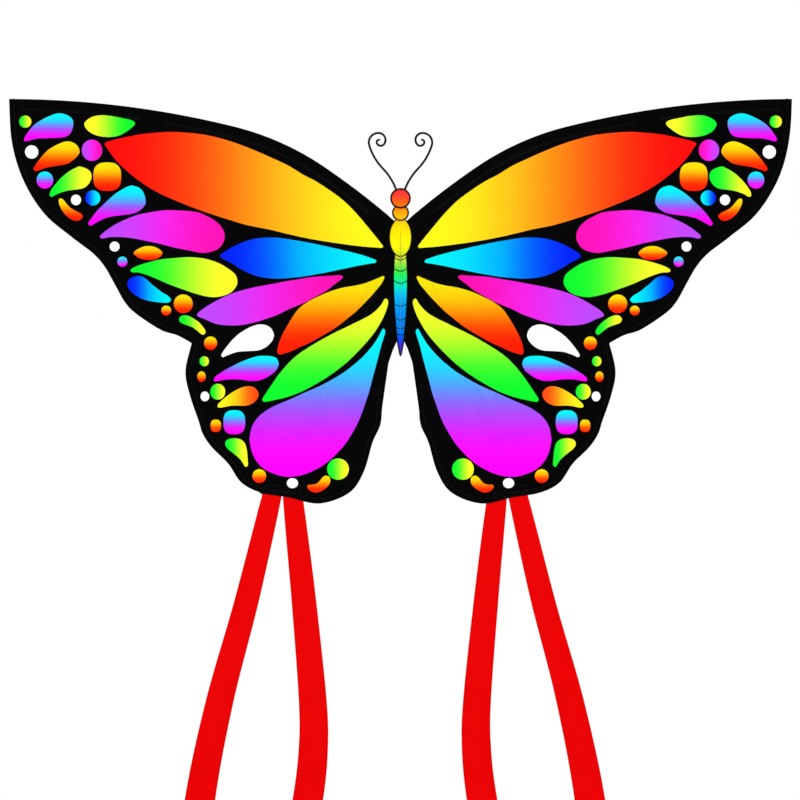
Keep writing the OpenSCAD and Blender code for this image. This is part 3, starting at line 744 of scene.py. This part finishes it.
clip, gap = kite["clipAt"], kite["clipGap"]
for word, side in sides.items():
    wing = word + "_wing"
    for part, (a, b) in {"Inner": (1.25, clip - gap), "Outer": (clip + gap, kite["noseAngle"] - 0.8)}.items():
        line = respace(leadLine(a, b, 0, 160), 4.0)
        sleeve, length = strip(word + "EdgeSleeve" + part, line, leadProfile, side, wing,
                               finishes["blackCloth"], crumple=0.7)
        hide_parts(word + "_edge_sleeve")
        for inset in (17.6, 20.2):
            sewThrough(wing, respace(line + inset * inwards(line), 4.0), side, 0.62)
    strut = np.linspace(kite["strutTop"], kite["strutFoot"], 90)[4:-4]
    pocket, length = strip(word + "StrutPocket", strut, strutProfile, side, wing,
                           finishes["blackCloth"], crumple=0.5)
    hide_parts(word + "_strut_sleeve")
    for inset in (-7.5, 7.5):
        sewThrough(wing, strut + inset * inwards(strut), side, 0.6)
    edge = respace(trailing, 4.0)
    edge = edge[edge[:, 0] > 27]
    hem, length = strip(word + "Hem", edge, hemProfile, side, wing,
                        finishes["blackCloth"], thickness=0.18)
    sewThrough(wing, edge + 8.6 * inwards(edge), side, 0.62)

for part, (low, high) in {"Lower": (-122, -9), "Upper": (19, 58)}.items():
    line = np.linspace((0, low), (0, high), round((high - low) / 3))
    pocket, length = strip("spinePocket" + part, line, spineProfile, 1, "centre",
                           finishes["blackCloth"], crumple=0.3)
    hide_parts("spine_sleeve")
    for inset in (-8.8, 8.8):
        sew("centre", onSail(line + [inset, 0], 1, 0.6))
print("strips done")


# reinforcing patches

def clothPatch(name, outline, side, body, node, lift=0.55):
    edge = respace(smooth(respace(np.vstack([outline, outline[:1]]), 9.0)[:-1], 3, closed=True), 2.5)
    verts, faces = cutCloth(edge, (), 5.0)
    piece = makePiece(name, onSail(verts, side, lift), faces if side > 0 else faces[:, ::-1], body,
                      finishes["tape"])
    thicken(piece, 0.2)
    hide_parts(node)
    ring = np.vstack([edge, edge[:1]])
    sew(body, onSail(ring + 2.2 * inwards(ring) * windingSign(edge), side, lift + 0.25))


clothPatch("nosePatch", [(-15, 75), (0, 61), (15, 75), (12, 34), (-12, 34)], 1, "centre", "nose_patch")
for word, side in sides.items():
    x = kite[word + "Tails"]
    clothPatch(word + "TipPatch", [(698, 286), (688, 228), (646, 252), (640, 284)], side, word + "_wing",
               word + "_tip_patch", lift=0.5)
    clothPatch(word + "TailPatch", [(x - 44, -392), (x + 44, -392), (x + 40, -414), (x - 40, -417)], side,
               word + "_wing", word + "_tail_patch", lift=0.7)
print("patches done")


# ribbons

ribbons = {
    "outer": [(18.3, -418), (63, -604), (111, -783), (147, -962), (166, -1150), (168, -1300), (158, -1420)],
    "inner": [(-19.3, -418), (-39, -604), (-55, -783), (-56, -870), (-46, -962), (-16, -1130), (12, -1280),
              (24, -1420)],
    "sewn": 23, "topWidth": 35.5, "endWidth": 60, "fullAt": 962, "y": 115.1, "wave": 5.5, "cup": 3.2,
}


def ribbonWidth(z):
    u = (kite["foldZ"] - z) / (kite["foldZ"] + ribbons["fullAt"])
    top, end = ribbons["topWidth"], ribbons["endWidth"]
    return top + (end - 5 - top) * np.clip(u, 0, 1) ** 0.75 + 5 * np.clip(u - 1, 0, 1)


for word, side in sides.items():
    for place in ("outer", "inner"):
        hang = respace(smooth(ribbons[place], 12), 9.0)
        sewn = np.array([(hang[0, 0], kite["foldZ"] + ribbons["sewn"] - d) for d in np.arange(0, 22.5, 4.4)])
        middle = np.vstack([sewn, hang])
        middle[:, 0] += kite[word + "Tails"]
        rows, columns = len(middle), 13
        seed = side * 4.7 + (9.1 if place == "outer" else 2.6)
        verts, spots = [], []
        run = runAlong(middle)
        for (x, z), s in zip(middle, run):
            w = float(ribbonWidth(z))
            ease = min(1, max(0, (kite["foldZ"] - 6 - z) / 160))
            end = min(1, max(0, (-1150 - z) / 250))
            wave = ribbons["wave"] * ease * noise.noise(Vector((s / 150, seed, 0.3)))
            twist = (0.12 + 0.1 * end) * ease * noise.noise(Vector((s / 210, seed, 5.1)))
            cup = ribbons["cup"] * ease * (0.55 + 0.6 * noise.noise(Vector((s / 130, seed, 8.8))))
            for u in np.linspace(-1, 1, columns):
                frill = 0.35 * ease * u * u * math.sin(s / 7.5 + seed + u)
                y = ribbons["y"] + wave + cup * (u * u - 0.4) + twist * u * w / 2 + frill
                verts.append((side * (x + u * w / 2), y, z))
                spots.append((u * w / 2 * mm, s * mm))
        faces = gridFaces(rows, columns)
        if side > 0:
            faces = [f[::-1] for f in faces]
        name = word + place.capitalize() + "Ribbon"
        ribbon = makePiece(name, verts, faces, None, finishes["ribbon"])
        layer = ribbon.data.uv_layers.new(name="cloth")
        layer.data.foreach_set("uv", np.array([spots[l.vertex_index] for l in ribbon.data.loops]).ravel())
        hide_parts(f"{word}_{place}_ribbon", word + "_ribbon_ends")
        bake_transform(ribbon)
        thicken(ribbon, 0.3)
        widths = ribbonWidth(middle[:, 1])
        flatArea = float(np.sum((widths[1:] + widths[:-1]) / 2 * np.abs(np.diff(middle[:, 1])))) * mm * mm
        # the seam that holds it: a box of stitches through the sail
        x0, half = sewn[0, 0] + kite[word + "Tails"], ribbons["topWidth"] / 2 - 3
        box = np.array([(x0 - half, -399), (x0 + half, -399), (x0 + half, -412), (x0 - half, -412),
                        (x0 - half, -399)])
        sewThrough(word + "_wing", respace(box, 3.0), side, 1.45)
print("ribbons done")


# padded body

bodyLook = {
    "back": 113.6, "rim": 0.9,
    "head": {"z": 114.6, "r": 16.2, "depth": 6.9, "round": 15},
    "neck": {"z": 88.9, "r": 13.1, "depth": 5.6, "round": 11},
    "thorax": {"z": 44.8, "w": 38.5, "h": 67, "depth": 6.9, "round": 17},
    "abdomen": {"side": [(9.5, 14), (10.5, 2), (11.7, -24), (11, -60), (9.5, -90), (7.5, -114), (4.5, -143),
                         (0, -167)], "depth": 5.6, "round": 9.5},
    # lowest point of each crease and how far its ends rise
    "creases": [(4.5, 4.8), (-15.7, 5), (-37.6, 4.8), (-78, 3.6), (-103, 2.9), (-118.5, 2.3), (-129.6, 1.8)],
}
bodyDye = [(-167, (60, 30, 120)), (-157, (72, 45, 168)), (-146, (50, 43, 206)), (-136, (5, 79, 240)),
           (-125, (0, 117, 230)), (-107, (0, 138, 240)), (-86, (1, 159, 252)), (-68, (4, 182, 254)),
           (-57, (4, 211, 255)), (-50, (2, 233, 245)), (-43, (9, 247, 221)), (-32, (18, 252, 153)),
           (-21, (43, 252, 99)), (-11, (111, 240, 76)), (0, (180, 243, 70)), (7, (226, 248, 70)),
           (13, (234, 249, 40)), (21, (247, 250, 16)), (36, (255, 247, 8)), (54, (255, 233, 2)),
           (68, (252, 214, 6)), (74, (252, 208, 16)), (81, (254, 186, 12)), (90, (254, 162, 2)),
           (98, (251, 138, 10)), (105, (250, 106, 20)), (116, (253, 72, 38)), (131, (248, 46, 62))]


def padPiece(name, outline, look, creases=(), step=1.5):
    # stuffed cloth: crowned in front, flat where it lies on the sail
    verts, faces = cutCloth(outline, (), step)
    ring = np.vstack([outline, outline[:1]])
    depthIn = distance(verts, ring)
    rise = np.clip(depthIn / look["round"], 0, 1)
    height = look["depth"] * np.sqrt(np.clip(1 - (1 - rise) ** 2, 0, 1)) ** 0.9
    dark = np.zeros(len(verts))
    for low, sag in creases:
        halfWidth = float(np.interp(-low, [-z for _, z in look["side"]], [x for x, _ in look["side"]]))
        away = verts[:, 1] - (low + sag * (verts[:, 0] / halfWidth) ** 2)
        height = height * (1 - 0.3 * np.exp(-(away / 2.4) ** 2))
        dark = np.maximum(dark, np.clip((1.3 if low > -60 else 1.1) - np.abs(away), 0, 1))
    height = height + 0.12 * ripple(verts[:, 0], verts[:, 1], 7, 2.2) * rise
    edgeY = bodyLook["back"] - bodyLook["rim"]
    front = np.stack([verts[:, 0], edgeY - height, verts[:, 1]], axis=1)
    back = np.stack([verts[:, 0], np.full(len(verts), bodyLook["back"]), verts[:, 1]], axis=1)
    n = len(verts)
    runs = [(a, b) for f in faces for a, b in ((f[0], f[1]), (f[1], f[2]), (f[2], f[0]))]
    shared = set(runs)
    walls = [(b, a, a + n, b + n) for a, b in runs if (b, a) not in shared]
    allFaces = [tuple(f) for f in faces] + [tuple(int(i) + n for i in f[::-1]) for f in faces] + walls
    tone = shade(bodyDye, np.tile(verts[:, 1], 2)) * (1 - 0.96 * np.pad(dark, (0, n))[:, None])
    corners = np.array([tone[i] for f in allFaces for i in f])
    return makePiece(name, np.vstack([front, back]), allFaces, "centre",
                     finishes["body"], corners)


def oval(z, w, h, n):
    turn = np.linspace(0, 2 * np.pi, n, endpoint=False)
    return np.stack([w * np.cos(turn), z + h * np.sin(turn)], axis=1)


def circle(z, r, n=72):
    return oval(z, r, r, n)


def cutBy(outline, z, r, squash=1.0):
    # the outline without what lies inside a circle or oval, whose edge it then follows
    def within(p):
        return np.hypot(p[:, 0], (p[:, 1] - z) / squash) < r

    dense = respace(np.vstack([outline, outline[:1]]), 0.8)[:-1]
    hidden = within(dense)
    start = int(np.argmax(hidden & ~np.roll(hidden, -1))) + 1
    kept = np.roll(dense, -start, axis=0)
    kept = kept[~within(kept)]
    a, b = kept[-1], kept[0]
    first = math.atan2((a[1] - z) / squash, a[0])
    last = math.atan2((b[1] - z) / squash, b[0])
    turn = np.linspace(first, last, 30)[1:-1]
    arc = np.stack([r * np.cos(turn), z + squash * r * np.sin(turn)], axis=1)
    return np.vstack([respace(kept, 1.6), arc])


head, neck, thorax, abdomen = (bodyLook[k] for k in ("head", "neck", "thorax", "abdomen"))
headEdge = circle(head["z"], head["r"])
neckEdge = cutBy(circle(neck["z"], neck["r"]), head["z"], head["r"] + 1.5)
thoraxOval = oval(thorax["z"], thorax["w"] / 2, thorax["h"] / 2, 90)
thoraxEdge = cutBy(thoraxOval, neck["z"], neck["r"] + 1.3)
sideLine = smooth(abdomen["side"], 8)
abdomenOval = np.vstack([sideLine * [-1, 1], sideLine[-2::-1]])
abdomenEdge = cutBy(abdomenOval, thorax["z"], thorax["w"] / 2 + 0.9, thorax["h"] / thorax["w"])

for name, edge, look, creases in (("headPad", headEdge, head, ()), ("neckPad", neckEdge, neck, ()),
                                  ("thoraxPad", thoraxEdge, thorax, ()),
                                  ("abdomenPad", abdomenEdge, abdomen, bodyLook["creases"])):
    pad = padPiece(name, edge, look, creases, step=0.65 if creases else 1.4)
    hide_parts(name[:-3])


def closeCaps(mesh):
    # joins a tube's end caps to its wall
    shell = bmesh.new()
    shell.from_mesh(mesh)
    bmesh.ops.remove_doubles(shell, verts=shell.verts, dist=0.01 * mm)
    shell.to_mesh(mesh)
    shell.free()


def tube(name, points, radius, closed=False, ends=()):
    # ends holds what part of the radius is left at the last points, from the tip back
    curve = bpy.data.curves.new(name, "CURVE")
    curve.dimensions = "3D"
    curve.bevel_depth = radius * mm
    curve.bevel_resolution = 6
    curve.use_fill_caps = True
    spline = curve.splines.new("POLY")
    spline.points.add(len(points) - 1)
    spline.points.foreach_set("co", np.array([(*(np.array(p) * mm), 1) for p in points]).ravel())
    spline.use_cyclic_u = closed
    for i, r in enumerate(ends):
        spline.points[-1 - i].radius = r
    piece = bpy.data.objects.new(name, curve)
    bpy.context.scene.collection.objects.link(piece)
    piece = plainMesh(piece)
    closeCaps(piece.data)
    piece.data.polygons.foreach_set("use_smooth", [True] * len(piece.data.polygons))
    return piece


def arcPoints(z, w, h, start, end, y):
    turn = np.radians(np.linspace(start, end, 90))
    return np.stack([w * np.cos(turn), np.full(len(turn), y), z + h * np.sin(turn)], axis=1)


# piping round each body part, as (height, half width, half height, first angle, last angle)
pipingY = 112.3
piping = [
    tube("headPiping", arcPoints(head["z"], 17, 17, 0, 356, pipingY - 0.4), 1.55, closed=True),
    tube("neckPiping", arcPoints(neck["z"], 13.9, 13.9, 128, 412, pipingY - 0.2), 1.45),
    tube("thoraxPiping", arcPoints(thorax["z"], 19.9, 34.2, 116, 424, pipingY), 1.1),
    tube("abdomenPiping", [(x + 0.9 * np.sign(x), pipingY, z) for x, z in abdomenOval], 1.1),
]
for piece in piping:
    piece.data.materials.append(finishes["piping"])
    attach(piece, "centre")
print("body done")


# antennae

antenna = {"start": (2.7, 112), "heading": 80, "y": 117.9, "r": 2.0,
           "bends": [(108, -34), (104, 27), (17, 115), (12.3, 122), (7.5, 120), (4.5, 140)]}


def bendLine(start, heading, bends, spacing):
    point, rows = np.array(start, float), [np.array(start, float)]
    for radius, turn in bends:
        n = max(4, round(math.radians(abs(turn)) * radius / spacing))
        sign = 1 if turn > 0 else -1
        for i in range(1, n + 1):
            a, b = math.radians(heading), math.radians(heading + turn * i / n)
            chord = np.array([math.sin(b) - math.sin(a), math.cos(a) - math.cos(b)])
            rows.append(point + sign * radius * chord)
        point, heading = rows[-1], heading + turn
    return np.array(rows)


feeler = bendLine(antenna["start"], antenna["heading"], antenna["bends"], 2.0)
for word, side in sides.items():
    piece = tube(word + "Antenna", [(side * x, antenna["y"], z) for x, z in feeler], antenna["r"],
                 ends=[0.45, 0.85, 0.97])
    piece.data.materials.append(finishes["antenna"])
    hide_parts(word + "_antenna")
    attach(piece, "centre")
print("antennae done")


# keel

keel = {"depth": 105, "topZ": 56, "footZ": -122, "tipR": 11, "cloth": 0.16, "tape": 6.5, "holeR": 3.4,
        "patchR": 10}


def keelLine(inset):
    turn = np.radians(np.linspace(62, -50, 22))
    r = keel["tipR"] - inset
    tip = np.stack([keel["depth"] + r * np.cos(turn), r * np.sin(turn)], axis=1)
    return np.vstack([[(0.3, keel["topZ"] - 2.2 * inset)], tip, [(0.3, keel["footZ"] + 1.6 * inset)]])


def keelTones(z, dim=1.0):
    return dim * shade(bodyDye, z)


def keelPoint(depth, z, x=0.0):
    # depth runs forwards from the seam
    return x, keel["depth"] - depth, z


def keelSway(depth, z):
    return 0.12 * noise.noise(Vector((depth / 40, z / 40, 1.7))) * min(1, depth / 20)


outline = respace(keelLine(0.6), 3.0)
hole = circle(0, keel["holeR"], 24) + [keel["depth"], 0]
verts, faces = cutCloth(outline, [hole], 6.0)
faces = faces[~inside(verts[faces].mean(axis=1), hole)]
keelCloth = makePiece("keelCloth", [keelPoint(d, z, keelSway(d, z)) for d, z in verts], faces, "keel",
                      finishes["keel"], keelTones(verts[faces][..., 1]))
thicken(keelCloth, keel["cloth"])
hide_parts("keel_panel")

edge = respace(keelLine(0.3), 2.5)
inner = windingSign(edge) * inwards(edge)
tape = [(keel["tape"], 0.2), (4.4, 0.24), (2.0, 0.26), (0.5, 0.24), (0.0, 0.0), (0.5, -0.24), (2.0, -0.26),
        (4.4, -0.24), (keel["tape"], -0.2)]
verts, tones = [], []
for p, n in zip(edge, inner):
    for inset, x in tape:
        d, z = p + inset * n
        verts.append(keelPoint(max(d, 0.3), z, x + keelSway(d, z)))
        tones.append(keelTones(z, 0.9))
faces = gridFaces(len(edge), len(tape))
binding = makePiece("keelBinding", verts, faces, "keel", finishes["keel"],
                    np.array([tones[i] for f in faces for i in f]))
thicken(binding, 0.12)
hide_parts("keel_binding")
for x in (0.34, -0.34):
    line = edge + 4.9 * inner
    sew("keel", [keelPoint(max(d, 0.5), z, x) for d, z in respace(line, 3.0)])

for word, x in (("left", -0.42), ("right", 0.42)):
    verts, faces = cutCloth(circle(0, keel["patchR"], 40) + [keel["depth"], 0], [hole], 3.0)
    faces = faces[~inside(verts[faces].mean(axis=1), hole)]
    disc = makePiece(word + "TowPatch", [keelPoint(d, z, x) for d, z in verts], faces, "keel",
                     finishes["tape"])
    thicken(disc, 0.25)
    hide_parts("tow_patch")
    ring = circle(0, 8.4, 30) + [keel["depth"], 0]
    sew("keel", [keelPoint(d, z, x + math.copysign(0.16, x)) for d, z in np.vstack([ring, ring[:1]])])

# rolled eyelet: half of its section, as (half width, radius), turned round the X axis
eyeletHalf = [(0.0, 2.5), (0.8, 2.5), (1.1, 2.62), (1.38, 2.95), (1.5, 3.5), (1.46, 4.1), (1.3, 4.7),
              (1.05, 5.2), (0.8, 5.45), (0.68, 5.3), (0.72, 4.6), (0.75, 3.7), (0.7, 3.5), (0.0, 3.5)]
section = eyeletHalf[:-1] + [(-x, r) for x, r in eyeletHalf[:0:-1]]
turns = 56
verts = [(x, r * math.cos(2 * math.pi * i / turns), r * math.sin(2 * math.pi * i / turns))
         for i in range(turns) for x, r in section]
loops = gridFaces(turns, len(section), closed=True)
last = (turns - 1) * len(section)
loops += [(last + j, j, (j + 1) % len(section), last + (j + 1) % len(section)) for j in range(len(section))]
eyelet = makePiece("towEyelet", verts, [f[::-1] for f in loops], "keel", finishes["brass"])
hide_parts("tow_eyelet")
print("keel done")


# stitches

def stitchTree():
    tree = bpy.data.node_groups.new("stitchRow", "GeometryNodeTree")
    face = tree.interface
    face.new_socket("Geometry", in_out="INPUT", socket_type="NodeSocketGeometry")
    ids = {}
    for name, kind in (("Pitch", "Float"), ("Length", "Float"), ("Thickness", "Float"), ("Seed", "Int"),
                       ("Thread", "Material")):
        ids[name] = face.new_socket(name, in_out="INPUT", socket_type="NodeSocket" + kind).identifier
    face.new_socket("Geometry", in_out="OUTPUT", socket_type="NodeSocketGeometry")

    def node(kind, settings=None, inputs=None):
        made = tree.nodes.new(kind)
        for key, value in (settings or {}).items():
            setattr(made, key, value)
        for key, value in (inputs or {}).items():
            if isinstance(value, bpy.types.NodeSocket):
                tree.links.new(value, made.inputs[key])
            else:
                made.inputs[key].default_value = value
        return made

    entry = node("NodeGroupInput").outputs
    curve = node("GeometryNodeMeshToCurve", inputs={"Mesh": entry["Geometry"]})
    spaced = node("GeometryNodeResampleCurve", {"mode": "LENGTH"},
                  {"Curve": curve.outputs[0], "Length": entry["Pitch"]})
    bead = node("GeometryNodeMeshIcoSphere", inputs={"Radius": 0.5, "Subdivisions": 1})
    size = node("ShaderNodeCombineXYZ", inputs={"X": entry["Length"], "Y": entry["Thickness"],
                                                "Z": entry["Thickness"]})
    shaped = node("GeometryNodeTransform", inputs={"Geometry": bead.outputs["Mesh"],
                                                   "Scale": size.outputs[0]})
    run = node("GeometryNodeInputTangent")
    turn = node("FunctionNodeAlignRotationToVector", {"axis": "X"}, {"Vector": run.outputs[0]})
    vary = node("FunctionNodeRandomValue", {"data_type": "FLOAT"},
                {2: 0.88, 3: 1.08, "Seed": entry["Seed"]})  # smallest and largest stitch
    placed = node("GeometryNodeInstanceOnPoints", inputs={
        "Points": spaced.outputs[0], "Instance": shaped.outputs[0], "Rotation": turn.outputs[0],
        "Scale": vary.outputs[1]})
    real = node("GeometryNodeRealizeInstances", inputs={"Geometry": placed.outputs[0]})
    dyed = node("GeometryNodeSetMaterial", inputs={"Geometry": real.outputs[0], "Material": entry["Thread"]})
    node("NodeGroupOutput", inputs={"Geometry": dyed.outputs[0]})
    return tree, ids


stitch = {"Pitch": 3.2 * mm, "Length": 2.3 * mm, "Thickness": 0.42 * mm, "Seed": 7,
          "Thread": finishes["thread"]}
keelStitch = {**stitch, "Thickness": 0.28 * mm, "Thread": finishes["paleThread"]}
stitchNodes, stitchIds = stitchTree()
stitchNames = {"centre": "centreStitches", "keel": "keelStitches", "left_wing": "leftWingStitches",
               "right_wing": "rightWingStitches"}
for body, lines in stitchLines.items():
    verts = np.vstack(lines)
    edges, first = [], 0
    for line in lines:
        edges += [(first + i, first + i + 1) for i in range(len(line) - 1)]
        first += len(line)
    mesh = bpy.data.meshes.new(stitchNames[body])
    mesh.from_pydata([tuple(v) for v in verts * mm], edges, [])
    rows = bpy.data.objects.new(stitchNames[body], mesh)
    bpy.context.scene.collection.objects.link(rows)
    modifier = rows.modifiers.new("stitches", "NODES")
    modifier.node_group = stitchNodes
    for name, value in (keelStitch if body == "keel" else stitch).items():
        modifier[stitchIds[name]] = value
    sewing = plainMesh(rows)
    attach(sewing, body)
    print(stitchNames[body], len(sewing.data.polygons), "faces")


# stage, light and camera

def areaLight(name, place, aim, size, power):
    lamp = bpy.data.lights.new(name, "AREA")
    lamp.shape, lamp.size, lamp.energy = "DISK", size, power
    holder = bpy.data.objects.new(name, lamp)
    bpy.context.scene.collection.objects.link(holder)
    holder.location = place
    holder.rotation_euler = (Vector(aim) - Vector(place)).to_track_quat("-Z", "Y").to_euler()


def makeFloor(radius=2.3, z=-1.46):
    turn = [2 * math.pi * i / 128 for i in range(128)]
    mesh = bpy.data.meshes.new("floor")
    mesh.from_pydata([(radius * math.cos(a), radius * math.sin(a), z) for a in turn], [], [list(range(128))])
    f = Finish("paleFloor", Roughness=0.9, Specular_IOR_Level=0.1)
    f.put("Base Color", f.mix(f.cloud(f.place(), 400), rgb(236, 236, 236), rgb(240, 240, 240)))
    mesh.materials.append(f.material)
    floor = bpy.data.objects.new("floor", mesh)
    bpy.context.scene.collection.objects.link(floor)


makeFloor()
scene = bpy.context.scene
scene.view_settings.view_transform = "Standard"
world = bpy.data.worlds.new("studio")
scene.world = world
world.use_nodes = True
sky = world.node_tree
glow = sky.nodes["Background"]
backdrop = sky.nodes.new("ShaderNodeBackground")
either = sky.nodes.new("ShaderNodeMixShader")
seen = sky.nodes.new("ShaderNodeLightPath")
glow.inputs["Color"].default_value, glow.inputs["Strength"].default_value = (1, 1, 1, 1), 0.27
backdrop.inputs["Color"].default_value, backdrop.inputs["Strength"].default_value = (1, 1, 1, 1), 1.0
sky.links.new(seen.outputs["Is Camera Ray"], either.inputs[0])
sky.links.new(glow.outputs[0], either.inputs[1])
sky.links.new(backdrop.outputs[0], either.inputs[2])
sky.links.new(either.outputs[0], sky.nodes["World Output"].inputs["Surface"])
areaLight("keyLight", (0, -3.5, 1.7), (0, 0.1, -0.2), 2.2, 71)
areaLight("fillLight", (0, -3.0, -1.0), (0, 0.1, -0.3), 2.0, 24)
for x in (-3.2, 3.2):
    areaLight("sideLight", (x, -0.9, 0.3), (0, 0.05, -0.1), 1.6, 30)
areaLight("backLight", (0.8, 3.6, 1.8), (0, 0.1, -0.2), 2.6, 95)

view = {"lens": 100, "sensor": 36, "width": 1.4304, "centreX": -0.0009, "centreZ": -0.2458}
lens = bpy.data.cameras.new("camera")
lens.lens, lens.sensor_width = view["lens"], view["sensor"]
lens.clip_end = 60
camera = bpy.data.objects.new("camera", lens)
bpy.context.scene.collection.objects.link(camera)
camera.location = (view["centreX"], kite["sailY"] * mm - view["width"] * view["lens"] / view["sensor"],
                   view["centreZ"])
camera.rotation_euler = (math.pi / 2, 0, 0)
scene.camera = camera
print("lights and camera set")
